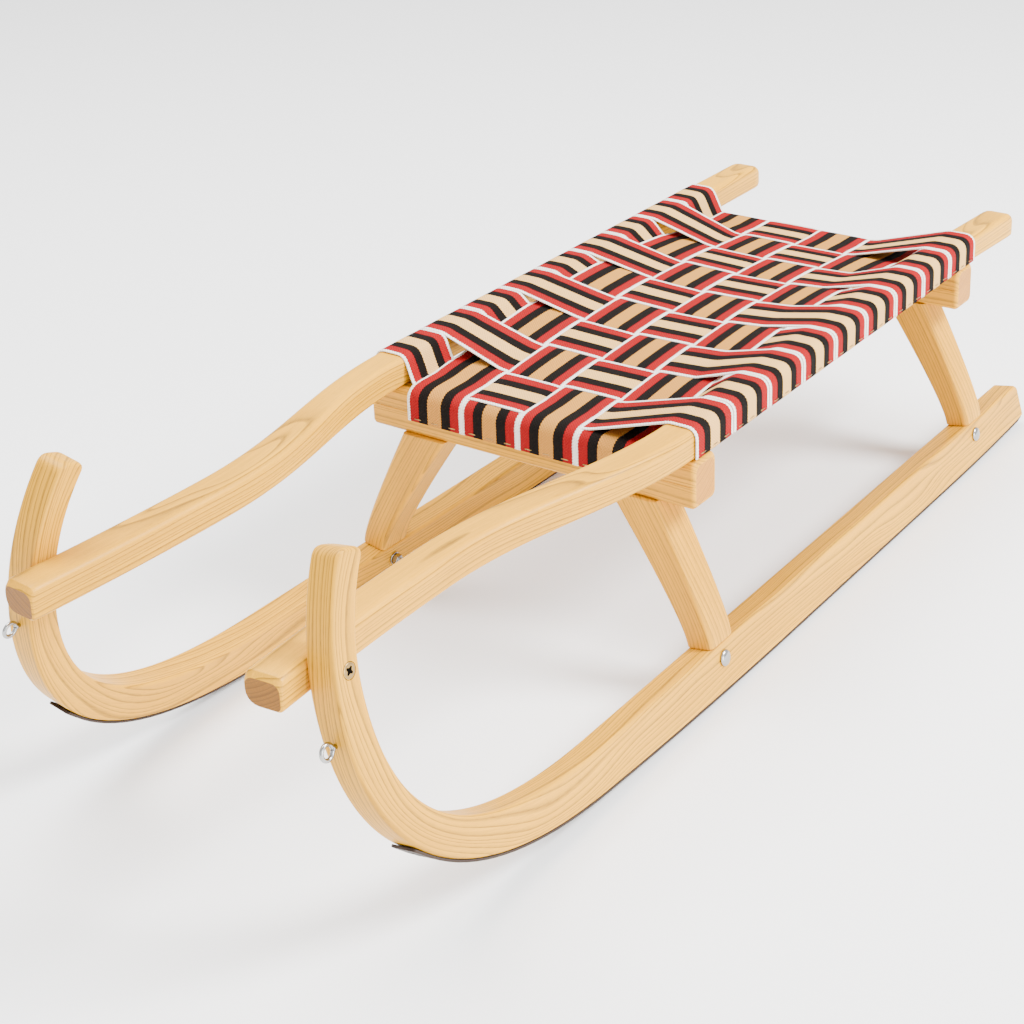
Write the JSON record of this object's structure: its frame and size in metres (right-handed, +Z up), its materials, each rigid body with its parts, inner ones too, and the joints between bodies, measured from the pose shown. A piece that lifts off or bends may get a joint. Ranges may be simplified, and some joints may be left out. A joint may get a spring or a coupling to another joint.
{
  "type": "horned sledge",
  "caption": "Wooden horned sledge: bent runners rising into horns, splayed legs, crossbars, bent seat rails and a woven webbing seat.",
  "frame": {"origin": "centre of the bounding box's bottom: under the middle of the sledge, on the ground under the runner shoes", "axes": "+Z up, -Y forwards towards the horns, +X to the right as seen by someone in front who looks along +Y"},
  "size_m": [0.3504, 1.0151, 0.2843],
  "materials": {
    "ash_wood": "clear lacquer, satin",
    "shoe_steel": "dark bare steel strip",
    "zinc_hardware": "bright zinc plated",
    "brass_screws": "yellow passivated, satin",
    "striped_webbing": "striped woven polyester, matt"
  },
  "bodies": {
    "root": {"eye_screw_left": "zinc_hardware", "eye_screw_right": "zinc_hardware", "front_bolt_left": "zinc_hardware", "front_bolt_nut_left": "zinc_hardware", "front_bolt_nut_right": "zinc_hardware", "front_bolt_right": "zinc_hardware", "front_bolt_washer_left": "zinc_hardware", "front_bolt_washer_right": "zinc_hardware", "front_crossbar_lower": "ash_wood", "front_crossbar_upper": "ash_wood", "front_leg_left": "ash_wood", "front_leg_right": "ash_wood", "front_rail_screw_left": "zinc_hardware", "front_rail_screw_right": "zinc_hardware", "horn_screw_left": "brass_screws", "horn_screw_right": "brass_screws", "rear_bolt_left": "zinc_hardware", "rear_bolt_nut_left": "zinc_hardware", "rear_bolt_nut_right": "zinc_hardware", "rear_bolt_right": "zinc_hardware", "rear_bolt_washer_left": "zinc_hardware", "rear_bolt_washer_right": "zinc_hardware", "rear_crossbar_lower": "ash_wood", "rear_crossbar_upper": "ash_wood", "rear_leg_left": "ash_wood", "rear_leg_right": "ash_wood", "rear_rail_screw_left": "zinc_hardware", "rear_rail_screw_right": "zinc_hardware", "runner_left": "ash_wood", "runner_right": "ash_wood", "runner_shoe_left": "shoe_steel", "runner_shoe_right": "shoe_steel", "seat_rail_left": "ash_wood", "seat_rail_right": "ash_wood", "shoe_screw_1_left": "zinc_hardware", "shoe_screw_1_right": "zinc_hardware", "shoe_screw_2_left": "zinc_hardware", "shoe_screw_2_right": "zinc_hardware", "shoe_screw_3_left": "zinc_hardware", "shoe_screw_3_right": "zinc_hardware", "shoe_screw_4_left": "zinc_hardware", "shoe_screw_4_right": "zinc_hardware", "webbing_cross_1": "striped_webbing", "webbing_cross_2": "striped_webbing", "webbing_cross_3": "striped_webbing", "webbing_cross_4": "striped_webbing", "webbing_cross_5": "striped_webbing", "webbing_cross_6": "striped_webbing", "webbing_cross_7": "striped_webbing", "webbing_cross_8": "striped_webbing", "webbing_cross_9": "striped_webbing", "webbing_long_1": "striped_webbing", "webbing_long_2": "striped_webbing", "webbing_long_3": "striped_webbing", "webbing_long_4": "striped_webbing"}
  },
  "joints": []
}
